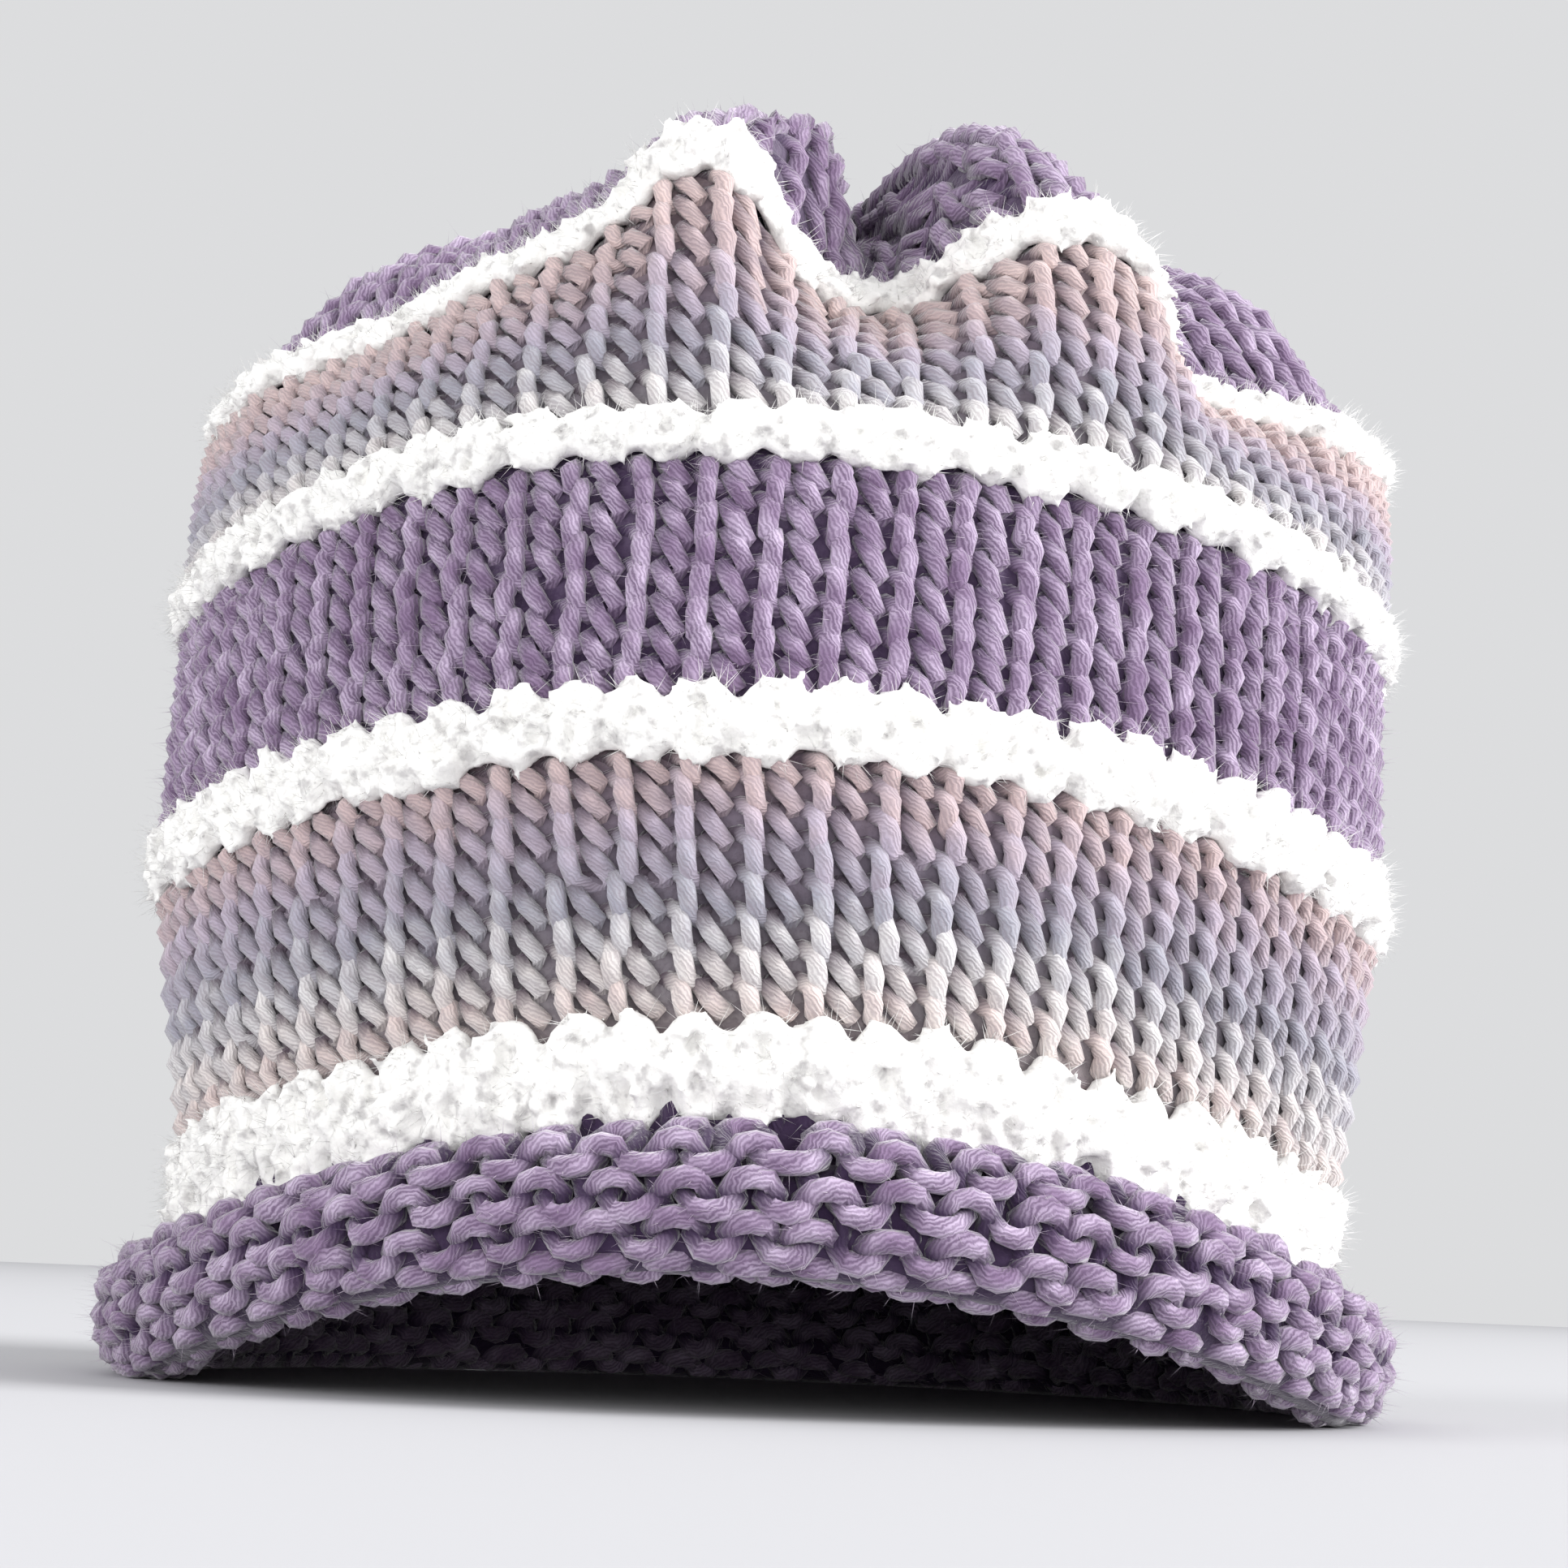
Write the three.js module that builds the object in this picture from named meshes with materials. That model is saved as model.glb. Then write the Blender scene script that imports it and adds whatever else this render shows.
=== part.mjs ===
// A slouchy beanie, knitted in the round in purple, marled taupe and fluffy white stripes.
// Its lower edge curls outwards into a rolled brim, and its top is gathered in soft folds.
// Millimetres, +Z up. The hat stands on its brim, its front looks along -Y, and +X is on the
// right of someone looking at the front. Every place on it is a turn, in degrees from the front
// towards +X, and a place along the knit, counted in rings from the brim to the gather.
import * as THREE from "three";

// Driving dimensions.
const KNIT_WALL = 5.5; // thickness of the plain stripes
const FLUFFY_WALL = 7; // thickness of the white stripes at their edges
const CROWN_WALL = 6; // measured straight into the folds
const STRIPE_GAP = 0.3; // between one stripe and the next
const PLAIN_SWELL = 0.4; // how far a plain stripe swells past its edges
const FLUFFY_PROUD = 1; // how far a white stripe stands out at its edges
const FLUFFY_SWELL = 2; // and how much further at its middle
const LOWER_STEPS = 56; // steps round the straight stripes
const UPPER_STEPS = 88; // steps round the folded ones

// The brim is a curl of knit, seen in section as an oval that starts at the wall and turns
// down, out, up and back in. The oval's sizes are those of the middle of the knit.
const ROLL_HALF_WIDTH = 5.8;
const ROLL_HALF_HEIGHT = 8;
const ROLL_CENTRE_DROP = 11.6; // below the seam with the first white stripe
const ROLL_START_DEG = 180; // where the wall runs into the oval
const ROLL_END_DEG = 463; // where the cast-on edge lies
const ROLL_ARCS = 11; // facets along the curl
const ROLL_UNEVEN = 0.04; // share by which the roll is fatter and thinner round the hat
const ROLL_WAVES = 3;

// The front of every ring arches up, fading out at this turn on each side.
const ARCH_END_DEG = 72;
const ARCH_FULLNESS = 1.25;

// The hat leans backwards, and a little towards +X.
const LEAN_TURN_DEG = 8;

// Soft waves in the wall, and pleats where the crown is drawn together.
const WAVE_DEPTH = 0.8;
const WAVES = 5;
const WAVE_DRIFT_DEG = 40; // how far the waves turn from one ring to the next
const PLEATS = 17;
const PLEAT_START_DEG = 40;
const PLEAT_UNEVEN_DEG = 52; // how far the pleats crowd together and spread

// The rings of the outside, from the seam above the brim to the middle of the crown.
// Height is at the sides, and lean is how far the ring's middle lies behind the brim's.
// Front rise and back drop tip the ring backwards. In a crease, the ring moves inwards by up to
// the share fold in of its radius, and down by up to fold down.
// Tilt is the way through the wall: 0 is level, 90 straight down.
const RING_COLUMNS = [
  "ring", "height", "halfWidth", "halfDepth", "lean",
  "frontRise", "backDrop", "foldIn", "foldDown", "tilt", "pleat",
];
const RINGS = [
  ["brim_seam", 21, 86, 96, 0, 18, 0, 0, 0, 0, 0],
  ["white_1_top", 35, 87.5, 97, 1, 16.5, 1, 0, 0, 0, 0],
  ["taupe_lower_top", 71, 92.5, 98, 3, 13, 3, 0, 0, 0, 0],
  ["white_2_top", 82.5, 93.5, 98, 5, 12, 4, 0, 0, 0, 0],
  ["purple_top", 114.5, 94, 97, 11, 11, 6, 0, 0, 0, 0],
  ["white_3_top", 123.5, 95, 97, 13, 11, 7, 0.01, 0, 2, 0],
  ["taupe_upper_middle", 140.5, 96, 96, 15, 11, 8, 0.12, 5, 8, 0],
  ["taupe_upper_top", 157, 95, 94, 17, 11, 8, 0.24, 14, 24, 0],
  ["white_4_top", 167, 91.5, 89, 18, 11, 8, 0.32, 18, 42, 0.3],
  ["crown_shoulder", 179, 78, 77, 19, 9, 8, 0.3, 20, 58, 0.8],
  ["crown_top", 185.5, 58, 59, 20, 6, 6, 0.26, 17, 70, 1.5],
  ["crown_dip", 186, 34, 35, 21, 4, 4, 0.2, 11, 80, 1.8],
  ["gather_edge", 184, 13, 13, 21, 1, 1, 0.1, 3, 90, 1.4],
  ["gather", 180, 0, 0, 21, 0, 0, 0, 0, 90, 0],
].map((row) => Object.fromEntries(RING_COLUMNS.map((column, i) => [column, row[i]])));
const FIRST_CROWN_RING = 9;
const GATHER = RINGS.length - 1;

// The ridges and creases round the top, by turn. Drawn is the share of fold in, dip the share of
// fold down up to the last white stripe, and crease its share in the crown above.
const FOLD_COLUMNS = ["turn", "drawn", "dip", "crease"];
const FOLDS = [
  [-92, 0.03, 0.48, 0.65],
  [-64, 0.02, 0.8, 0.55],
  [-44, 0.3, 0.84, 0.66],
  [-20, 0.12, 0.56, 0.46],
  [-12, 0, 0.03, 0.24],
  [-8, 0, -0.03, 0.18],
  [2, 0.75, 0.86, 0.15],
  [9, 0.92, 0.88, 1],
  [20, 0.14, 0.38, 0.16],
  [25, 0.04, 0.26, 0.22],
  [30, 0.06, 0.36, 0.46],
  [43, 0.55, 0.96, 0.68],
  [66, 0.06, 0.76, 0.42],
  [91, 0.04, 0.5, 0.6],
  [112, 0.06, 0.5, 0.2],
  [133, 0.5, 0.95, 0.85],
  [153, 0.04, 0.35, 0.15],
  [174, 0.45, 0.9, 0.8],
  [199, 0.06, 0.45, 0.2],
  [222, 0.55, 1, 0.9],
  [245, 0.06, 0.45, 0.2],
].map((row) => Object.fromEntries(FOLD_COLUMNS.map((column, i) => [column, row[i]])));

// Yarns.
const purpleYarn = () => new THREE.MeshStandardMaterial({ color: 0x8c739b, roughness: 0.95, metalness: 0 });
const taupeYarn = () => new THREE.MeshStandardMaterial({ color: 0xaf9f9c, roughness: 0.9, metalness: 0 });
const whiteYarn = () => new THREE.MeshStandardMaterial({ color: 0xf4f2ee, roughness: 1, metalness: 0 });

// A row of the fold table, counted on round the hat.
function foldRow(number) {
  const rounds = Math.floor(number / FOLDS.length);
  const row = FOLDS[number - rounds * FOLDS.length];
  return { ...row, turn: row.turn + 360 * rounds };
}

// The slope of a curve where two straight stretches meet: level at a ridge or at the foot of a crease.
function slopeBetween(before, after) {
  return before * after > 0 ? (2 * before * after) / (before + after) : 0;
}

// The fold at a turn, on a smooth curve through the rows of the table.
function foldAt(turn) {
  const start = FOLDS[0].turn;
  const at = THREE.MathUtils.euclideanModulo(turn - start, 360) + start;
  const i = FOLDS.findLastIndex((fold) => fold.turn <= at);
  const [first, second, third, fourth] = [i - 1, i, i + 1, i + 2].map(foldRow);
  const width = third.turn - second.turn;
  const share = (at - second.turn) / width;
  const blend = (column) => {
    const rise = (from, to) => (to[column] - from[column]) / (to.turn - from.turn);
    const leave = slopeBetween(rise(first, second), rise(second, third)) * width;
    const arrive = slopeBetween(rise(second, third), rise(third, fourth)) * width;
    return (
      second[column] * (2 * share ** 3 - 3 * share ** 2 + 1) +
      leave * (share ** 3 - 2 * share ** 2 + share) +
      third[column] * (3 * share ** 2 - 2 * share ** 3) +
      arrive * (share ** 3 - share ** 2)
    );
  };
  return { drawn: blend("drawn"), dip: blend("dip"), crease: blend("crease") };
}

// How far the front arch lifts a turn: 1 at the front, 0 from ARCH_END_DEG on.
function arch(turn) {
  const off = Math.abs(THREE.MathUtils.euclideanModulo(turn + 180, 360) - 180) / ARCH_END_DEG;
  return off < 1 ? Math.cos((off * Math.PI) / 2) ** ARCH_FULLNESS : 0;
}

// The point of a ring, counted from the brim's seam, at a turn on the outside of the cloth.
function ringPoint(number, turn) {
  const ring = RINGS[number];
  const fold = foldAt(turn);
  const angle = THREE.MathUtils.degToRad(turn);
  const leanAngle = THREE.MathUtils.degToRad(LEAN_TURN_DEG);
  const waveAngle = WAVES * angle + THREE.MathUtils.degToRad(WAVE_DRIFT_DEG * number);
  const pleatAngle =
    PLEATS * angle + THREE.MathUtils.degToRad(PLEAT_START_DEG + PLEAT_UNEVEN_DEG * Math.sin(2 * angle));
  const wave = number > 0 && number < FIRST_CROWN_RING ? WAVE_DEPTH * Math.sin(waveAngle) : 0;
  const reach = 1 - ring.foldIn * fold.drawn;
  const down = ring.foldDown * (number < FIRST_CROWN_RING ? fold.dip : fold.crease);
  const tip = ring.frontRise * arch(turn) - (ring.backDrop * (1 - Math.cos(angle))) / 2;
  return new THREE.Vector3(
    ring.lean * Math.sin(leanAngle) + (ring.halfWidth * reach + wave) * Math.sin(angle),
    ring.lean * Math.cos(leanAngle) - (ring.halfDepth * reach + wave) * Math.cos(angle),
    ring.height + tip - down + ring.pleat * Math.sin(pleatAngle),
  );
}

// The line that runs up the outside at a turn, from the brim's seam to the gather.
const meridians = new Map();
function meridian(turn) {
  if (!meridians.has(turn)) {
    meridians.set(turn, new THREE.CatmullRomCurve3(RINGS.map((_, number) => ringPoint(number, turn))));
  }
  return meridians.get(turn);
}

// The level direction straight out of the hat at a turn.
function levelOut(turn) {
  const angle = THREE.MathUtils.degToRad(turn);
  const { halfWidth, halfDepth } = RINGS[0];
  return new THREE.Vector3(Math.sin(angle) / halfWidth, -Math.cos(angle) / halfDepth, 0).normalize();
}

// A point of the cloth: along counts rings from the seam, and depth is below the outside.
function clothPoint(turn, along, depth) {
  const low = RINGS[Math.floor(along)];
  const high = RINGS[Math.ceil(along)];
  const tilt = THREE.MathUtils.degToRad(THREE.MathUtils.lerp(low.tilt, high.tilt, along % 1));
  const out = levelOut(turn).multiplyScalar(Math.cos(tilt));
  out.z = Math.sin(tilt);
  return meridian(turn).getPoint(along / GATHER).addScaledVector(out, -depth);
}

// A closed body from a loop of points that runs up the outside and down the inside of the wall,
// carried round the hat. Points that meet at the gather become one.
function carriedRound(steps, loop) {
  const positions = [];
  const rows = loop.map((point) => {
    const first = positions.length / 3;
    const places = Array.from({ length: steps }, (_, i) => point((360 * i) / steps));
    const meets = places[0].distanceTo(places[Math.floor(steps / 2)]) < STRIPE_GAP;
    (meets ? places.slice(0, 1) : places).forEach((p) => positions.push(p.x, p.y, p.z));
    return (i) => (meets ? first : first + (i % steps));
  });
  const index = [];
  rows.forEach((row, k) => {
    const above = rows[(k + 1) % rows.length];
    for (let i = 0; i < steps; i++) {
      const [a, b, c, d] = [row(i), row(i + 1), above(i + 1), above(i)];
      if (a !== b) index.push(a, b, c);
      if (c !== d) index.push(a, c, d);
    }
  });
  const body = new THREE.BufferGeometry();
  body.setAttribute("position", new THREE.Float32BufferAttribute(positions, 3));
  body.setIndex(index);
  body.computeVertexNormals();
  return body;
}

// A stripe of cloth between two rings, held back from each by half the gap.
function stripe({ from, to, steps, wall, proud, swell, outerRows, innerRows }) {
  const length = meridian(0).getPoint(from / GATHER).distanceTo(meridian(0).getPoint(to / GATHER));
  const back = ((STRIPE_GAP / 2) * (to - from)) / length;
  const top = to === GATHER ? to : to - back;
  const bottom = from + back;
  const outside = Array.from({ length: outerRows + 1 }, (_, k) => {
    const along = THREE.MathUtils.lerp(bottom, top, k / outerRows);
    const out = proud + swell * Math.sin((Math.PI * k) / outerRows);
    return (turn) => clothPoint(turn, along, -out);
  });
  const inside = Array.from({ length: innerRows + 1 }, (_, k) => {
    const along = THREE.MathUtils.lerp(top, bottom, k / innerRows);
    return (turn) => clothPoint(turn, along, wall - proud);
  });
  return carriedRound(steps, [...outside, ...inside]);
}

// The knit of each kind of stripe.
const PLAIN = { wall: KNIT_WALL, proud: 0, swell: PLAIN_SWELL };
const FLUFFY = { wall: FLUFFY_WALL, proud: FLUFFY_PROUD, swell: FLUFFY_SWELL };
const GATHERED = { wall: CROWN_WALL, proud: 0, swell: 0 };

// How finely the straight and the folded stripes are faceted.
const STRAIGHT_PLAIN = { ...PLAIN, steps: LOWER_STEPS, outerRows: 3, innerRows: 2 };
const STRAIGHT_FLUFFY = { ...FLUFFY, steps: LOWER_STEPS, outerRows: 3, innerRows: 1 };
const FOLDED_PLAIN = { ...PLAIN, steps: UPPER_STEPS, outerRows: 4, innerRows: 3 };
const FOLDED_FLUFFY = { ...FLUFFY, steps: UPPER_STEPS, outerRows: 3, innerRows: 2 };
const FOLDED_CROWN = { ...GATHERED, steps: UPPER_STEPS, outerRows: 9, innerRows: 6 };

// A point of the brim: curl is the angle along the oval in degrees, or the seam where it is null,
// and side is 1 on the face that shows on the outside of the roll and -1 on the face inside it.
function brimPoint(turn, curl, side) {
  const out = levelOut(turn);
  const uneven = 1 + ROLL_UNEVEN * Math.sin(THREE.MathUtils.degToRad(ROLL_WAVES * turn));
  const angle = THREE.MathUtils.degToRad(curl ?? ROLL_START_DEG);
  const width = ROLL_HALF_WIDTH * uneven + (side * KNIT_WALL) / 2;
  const height = ROLL_HALF_HEIGHT * uneven + (side * KNIT_WALL) / 2;
  const outwards = ROLL_HALF_WIDTH * uneven + width * Math.cos(angle) - KNIT_WALL / 2;
  const upwards = curl === null ? -STRIPE_GAP / 2 : height * Math.sin(angle) - ROLL_CENTRE_DROP;
  const point = ringPoint(0, turn).addScaledVector(out, outwards);
  point.z = Math.max(0, point.z + upwards); // the knit is pressed flat where it rests
  return point;
}

function brim() {
  const curls = Array.from({ length: ROLL_ARCS + 1 }, (_, k) =>
    THREE.MathUtils.lerp(ROLL_START_DEG, ROLL_END_DEG, k / ROLL_ARCS),
  );
  const insideOfRoll = curls.map((curl) => (turn) => brimPoint(turn, curl, -1)).reverse();
  const outsideOfRoll = curls.map((curl) => (turn) => brimPoint(turn, curl, 1));
  const seam = [-1, 1].map((side) => (turn) => brimPoint(turn, null, side));
  return carriedRound(LOWER_STEPS, [...insideOfRoll, ...seam, ...outsideOfRoll]);
}

const PIECES = [
  ["brim", brim(), purpleYarn()],
  ["white_stripe_1", stripe({ ...STRAIGHT_FLUFFY, from: 0, to: 1 }), whiteYarn()],
  ["taupe_stripe_lower", stripe({ ...STRAIGHT_PLAIN, from: 1, to: 2 }), taupeYarn()],
  ["white_stripe_2", stripe({ ...STRAIGHT_FLUFFY, from: 2, to: 3 }), whiteYarn()],
  ["purple_stripe", stripe({ ...STRAIGHT_PLAIN, from: 3, to: 4 }), purpleYarn()],
  ["white_stripe_3", stripe({ ...STRAIGHT_FLUFFY, from: 4, to: 5 }), whiteYarn()],
  ["taupe_stripe_upper", stripe({ ...FOLDED_PLAIN, from: 5, to: 7 }), taupeYarn()],
  ["white_stripe_4", stripe({ ...FOLDED_FLUFFY, from: 7, to: 8 }), whiteYarn()],
  ["crown", stripe({ ...FOLDED_CROWN, from: 8, to: GATHER }), purpleYarn()],
];

const beanie = new THREE.Group();
for (const [name, geometry, material] of PIECES) {
  const piece = new THREE.Mesh(geometry, material);
  piece.name = name;
  beanie.add(piece);
}

// The origin is on the floor, below the middle of the hat's width and depth.
const box = new THREE.Box3().setFromObject(beanie);
const middle = box.getCenter(new THREE.Vector3());
beanie.children.forEach((piece) => piece.position.set(-middle.x, -middle.y, 0));

export default beanie;
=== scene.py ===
# A slouchy knitted hat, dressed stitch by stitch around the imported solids, in metres.
import math

import bpy
import numpy as np
from mathutils import Matrix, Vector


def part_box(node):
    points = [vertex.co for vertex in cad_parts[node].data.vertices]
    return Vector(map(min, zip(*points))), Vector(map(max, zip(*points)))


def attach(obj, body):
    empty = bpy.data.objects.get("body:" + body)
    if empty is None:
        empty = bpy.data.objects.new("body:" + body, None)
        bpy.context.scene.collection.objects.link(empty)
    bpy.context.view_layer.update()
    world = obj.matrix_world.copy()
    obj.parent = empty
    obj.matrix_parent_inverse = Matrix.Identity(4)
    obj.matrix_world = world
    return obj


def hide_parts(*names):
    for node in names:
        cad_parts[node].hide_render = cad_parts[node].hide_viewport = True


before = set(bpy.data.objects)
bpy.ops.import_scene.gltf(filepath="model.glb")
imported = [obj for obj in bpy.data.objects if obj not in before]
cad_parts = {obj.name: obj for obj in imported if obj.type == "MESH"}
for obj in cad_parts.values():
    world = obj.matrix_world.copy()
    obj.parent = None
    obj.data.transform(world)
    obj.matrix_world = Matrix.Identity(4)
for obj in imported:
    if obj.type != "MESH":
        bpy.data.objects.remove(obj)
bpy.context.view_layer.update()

# Brim.
# Purple yarn, where the knitting begins. Plain knit curls up by itself at a free edge, so the
# brim is a roll with its purl side out. Its front arches up off the floor.
MM = 0.001
FULL_TURN = 2 * math.pi

# The rings that the hat's outside passes through, in millimetres and degrees.
RINGS = np.array([
    # height  half   half   lean  front  back   fold   fold  pleat
    #         width  depth        rise   drop   in     down
    [21.0,    86.0,  96.0,  0.0,  18.0,  0.0,   0.00,  0.0,  0.0],   # top of the brim
    [35.0,    87.5,  97.0,  1.0,  16.5,  1.0,   0.00,  0.0,  0.0],   # top of the first white stripe
    [71.0,    92.5,  98.0,  3.0,  13.0,  3.0,   0.00,  0.0,  0.0],   # top of the lower taupe stripe
    [82.5,    93.5,  98.0,  5.0,  12.0,  4.0,   0.00,  0.0,  0.0],   # top of the second white stripe
    [114.5,   94.0,  97.0,  11.0, 11.0,  6.0,   0.00,  0.0,  0.0],   # top of the purple stripe
    [123.5,   95.0,  97.0,  13.0, 11.0,  7.0,   0.01,  0.0,  0.0],   # top of the third white stripe
    [140.5,   96.0,  96.0,  15.0, 11.0,  8.0,   0.12,  5.0,  0.0],   # middle of the upper taupe stripe
    [157.0,   95.0,  94.0,  17.0, 11.0,  8.0,   0.24,  14.0, 0.0],   # top of the upper taupe stripe
    [167.0,   91.5,  89.0,  18.0, 11.0,  8.0,   0.32,  18.0, 0.3],   # top of the fourth white stripe
    [179.0,   78.0,  77.0,  19.0, 9.0,   8.0,   0.30,  20.0, 0.8],   # shoulder of the crown
    [185.5,   58.0,  59.0,  20.0, 6.0,   6.0,   0.26,  17.0, 1.5],   # top of the crown
    [186.0,   34.0,  35.0,  21.0, 4.0,   4.0,   0.20,  11.0, 1.8],   # dip of the crown
    [184.0,   13.0,  13.0,  21.0, 1.0,   1.0,   0.10,  3.0,  1.4],   # edge of the gather
    [180.0,   0.0,   0.0,   21.0, 0.0,   0.0,   0.00,  0.0,  0.0],   # gather
])
HEIGHT, HALF_WIDTH, HALF_DEPTH, LEAN, FRONT_RISE, BACK_DROP, FOLD_IN, FOLD_DOWN, PLEAT = RINGS.T
FIRST_CROWN_RING = 9
GATHER = 13

# How far the folds pull the cloth in and down round the hat, by the turn from the front.
FOLDS = np.array([
    # turn   drawn  dip    crease
    [-92.0,  0.03,  0.48,  0.65],
    [-64.0,  0.02,  0.80,  0.55],
    [-44.0,  0.30,  0.84,  0.66],
    [-20.0,  0.12,  0.56,  0.46],
    [-12.0,  0.00,  0.03,  0.24],
    [-8.0,   0.00,  -0.03, 0.18],
    [2.0,    0.75,  0.86,  0.15],
    [9.0,    0.92,  0.88,  1.00],
    [20.0,   0.14,  0.38,  0.16],
    [25.0,   0.04,  0.26,  0.22],
    [30.0,   0.06,  0.36,  0.46],
    [43.0,   0.55,  0.96,  0.68],
    [66.0,   0.06,  0.76,  0.42],
    [91.0,   0.04,  0.50,  0.60],
    [112.0,  0.06,  0.50,  0.20],
    [133.0,  0.50,  0.95,  0.85],
    [153.0,  0.04,  0.35,  0.15],
    [174.0,  0.45,  0.90,  0.80],
    [199.0,  0.06,  0.45,  0.20],
    [222.0,  0.55,  1.00,  0.90],
    [245.0,  0.06,  0.45,  0.20],
])
ARCH_END = 72.0
ARCH_FULLNESS = 1.25
LEAN_TURN = math.radians(8)
WAVE_DEPTH = 0.8
WAVES = 5
WAVE_DRIFT = math.radians(40)
PLEATS = 17
PLEAT_START = math.radians(40)
PLEAT_UNEVEN = math.radians(52)

# The roll of the brim, an oval that the knit goes round from its straight top to its free edge.
KNIT_WALL = 5.5
ROLL_HALF_WIDTH = 5.8
ROLL_HALF_HEIGHT = 8.0
ROLL_DROP = 11.6
ROLL_START = math.radians(180)
ROLL_END = math.radians(463)
ROLL_UNEVEN = 0.04
ROLL_WAVES = 3
ROLL_STEPS = 200

# Where the solids stand: their brim says how far the rings are moved to the middle of the frame.
brim_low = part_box("brim")[0]
left_reach = HALF_WIDTH[0] + 2 * ROLL_HALF_WIDTH * (1 + ROLL_UNEVEN)
front_reach = HALF_DEPTH[0] + 2 * ROLL_HALF_WIDTH
HAT_SHIFT = np.array([brim_low[0] / MM + left_reach, brim_low[1] / MM + front_reach, 0.0])


def fold_at(turn):
    """Drawn, dip and crease at some turns in degrees, smoothly through the table's rows."""
    first = FOLDS[0, 0]
    starts = np.append(FOLDS[:, 0], first + 360)
    values = np.vstack([FOLDS[:, 1:], FOLDS[:1, 1:]])
    widths = np.diff(starts)[:, None]
    rises = np.diff(values, axis=0) / widths
    rises_before = np.roll(rises, 1, axis=0)
    same_way = rises_before * rises > 0
    sums = np.where(same_way, rises_before + rises, 1)
    slopes = np.where(same_way, 2 * rises_before * rises / sums, 0)
    leave = slopes * widths
    arrive = np.roll(slopes, -1, axis=0) * widths
    turn = (turn - first) % 360 + first
    row = np.clip(np.searchsorted(starts, turn, side="right") - 1, 0, len(FOLDS) - 1)
    share = (turn[..., None] - starts[row][..., None]) / widths[row]
    fold = (
        values[row] * (2 * share**3 - 3 * share**2 + 1)
        + leave[row] * (share**3 - 2 * share**2 + share)
        + values[row + 1] * (3 * share**2 - 2 * share**3)
        + arrive[row] * (share**3 - share**2)
    )
    return np.moveaxis(fold, -1, 0)


def arch_at(turn):
    """How much of the front rise a turn has: all of it at the front, none at the sides."""
    off = np.abs((turn + 180) % 360 - 180) / ARCH_END
    return np.cos(np.minimum(off, 1) * math.pi / 2).clip(0) ** ARCH_FULLNESS


def ring_points(ring, turn):
    """Points on the numbered rings at some turns."""
    angle = np.radians(turn)
    drawn, dip, crease = fold_at(turn)
    in_crown = ring >= FIRST_CROWN_RING
    wave = WAVE_DEPTH * np.sin(WAVES * angle + WAVE_DRIFT * ring)
    wave = np.where((ring > 0) & ~in_crown, wave, 0)
    pleat = PLEAT[ring] * np.sin(PLEATS * angle + PLEAT_START + PLEAT_UNEVEN * np.sin(2 * angle))
    reach = 1 - FOLD_IN[ring] * drawn
    down = FOLD_DOWN[ring] * np.where(in_crown, crease, dip)
    tip = FRONT_RISE[ring] * arch_at(turn) - BACK_DROP[ring] * (1 - np.cos(angle)) / 2
    x = LEAN[ring] * math.sin(LEAN_TURN) + (HALF_WIDTH[ring] * reach + wave) * np.sin(angle)
    y = LEAN[ring] * math.cos(LEAN_TURN) - (HALF_DEPTH[ring] * reach + wave) * np.cos(angle)
    z = HEIGHT[ring] + tip - down + pleat
    return np.stack([x, y, z], -1) + HAT_SHIFT


def level_out(turn):
    """The level direction out of the hat at some turns."""
    angle = np.radians(turn)
    x = np.sin(angle) / HALF_WIDTH[0]
    y = -np.cos(angle) / HALF_DEPTH[0]
    size = np.hypot(x, y)
    return np.stack([x / size, y / size, np.zeros_like(x)], -1)


def unit(vectors):
    """The vectors at a length of one."""
    return vectors / np.linalg.norm(vectors, axis=-1, keepdims=True).clip(1e-9)


def roll_lay(turn, down):
    """Points and knit-side directions of the brim's knit, some millimetres down from its top."""
    oval = np.linspace(ROLL_START, ROLL_END, ROLL_STEPS)
    steps = np.hypot(
        ROLL_HALF_WIDTH * np.diff(np.cos(oval)),
        ROLL_HALF_HEIGHT * np.diff(np.sin(oval)),
    )
    lengths = np.append(0, np.cumsum(steps))
    curl = np.interp(down - ROLL_DROP, lengths, oval)
    uneven = 1 + ROLL_UNEVEN * np.sin(ROLL_WAVES * np.radians(turn))
    over = np.maximum(down - ROLL_DROP - lengths[-1], 0)
    straight = np.maximum(ROLL_DROP - down, 0)
    out = ROLL_HALF_WIDTH * uneven * (1 + np.cos(curl)) - KNIT_WALL / 2 - over
    up = ROLL_HALF_HEIGHT * uneven * np.sin(curl) - ROLL_DROP + straight
    level = level_out(turn)
    points = ring_points(np.zeros(turn.shape, int), turn) + level * out[..., None]
    points[..., 2] += up
    facing = -level * (np.cos(curl) / ROLL_HALF_WIDTH)[..., None]
    facing[..., 2] -= np.sin(curl) / ROLL_HALF_HEIGHT
    return points, unit(facing)


# Stitches. One round of plain knit is one yarn that snakes through its stitches: the legs of
# each loop lie on the knit side, and its head and foot on the purl side.
STITCHES_ROUND = 66
STITCH_STEPS = 12
CLOSER_AT_BENDS = 0.2
# The phase by which the painted shade on each slanted left leg is moved up the leg.
DIM_UP_THE_LEG = 1.0
YARN_SIDES = 6
rng = np.random.default_rng(11)


def uneven_stitches(stitches, size):
    """A smooth wobble round one row, with a new value at each stitch."""
    values = rng.normal(0, size, stitches)
    place = np.arange(stitches * STITCH_STEPS) / STITCH_STEPS
    low = place.astype(int)
    share = place - low
    share = share * share * (3 - 2 * share)
    return values[low] * (1 - share) + values[(low + 1) % stitches] * share


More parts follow.
